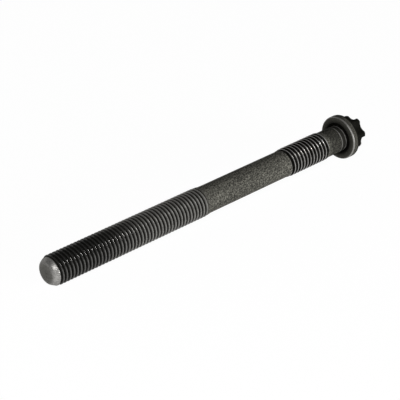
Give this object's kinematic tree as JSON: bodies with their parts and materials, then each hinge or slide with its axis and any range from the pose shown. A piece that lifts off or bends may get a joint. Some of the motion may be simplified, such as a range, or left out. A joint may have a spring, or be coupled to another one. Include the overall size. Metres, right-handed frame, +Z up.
{
  "type": "cylinder head bolt",
  "caption": "Long waisted bolt with a rolled thread at the tip, a short coarse centring thread under its round flange, and a lobed external drive, for clamping a cylinder head.",
  "frame": {"origin": "centre of the bearing face under the head, on the bolt's axis", "axes": "the bolt lies at rest on its flange rim and the first crest of its thread: +X runs along it from tip to head, +Z is up, and its own axis dips 1.24 degrees from +X towards the tip"},
  "size_m": [0.1503, 0.017, 0.0171],
  "materials": {
    "phosphated_steel": "black phosphated and lightly oiled, worn grey on thread crests, tip and flange edge"
  },
  "bodies": {
    "root": {"head_bolt": "phosphated_steel"}
  },
  "joints": []
}
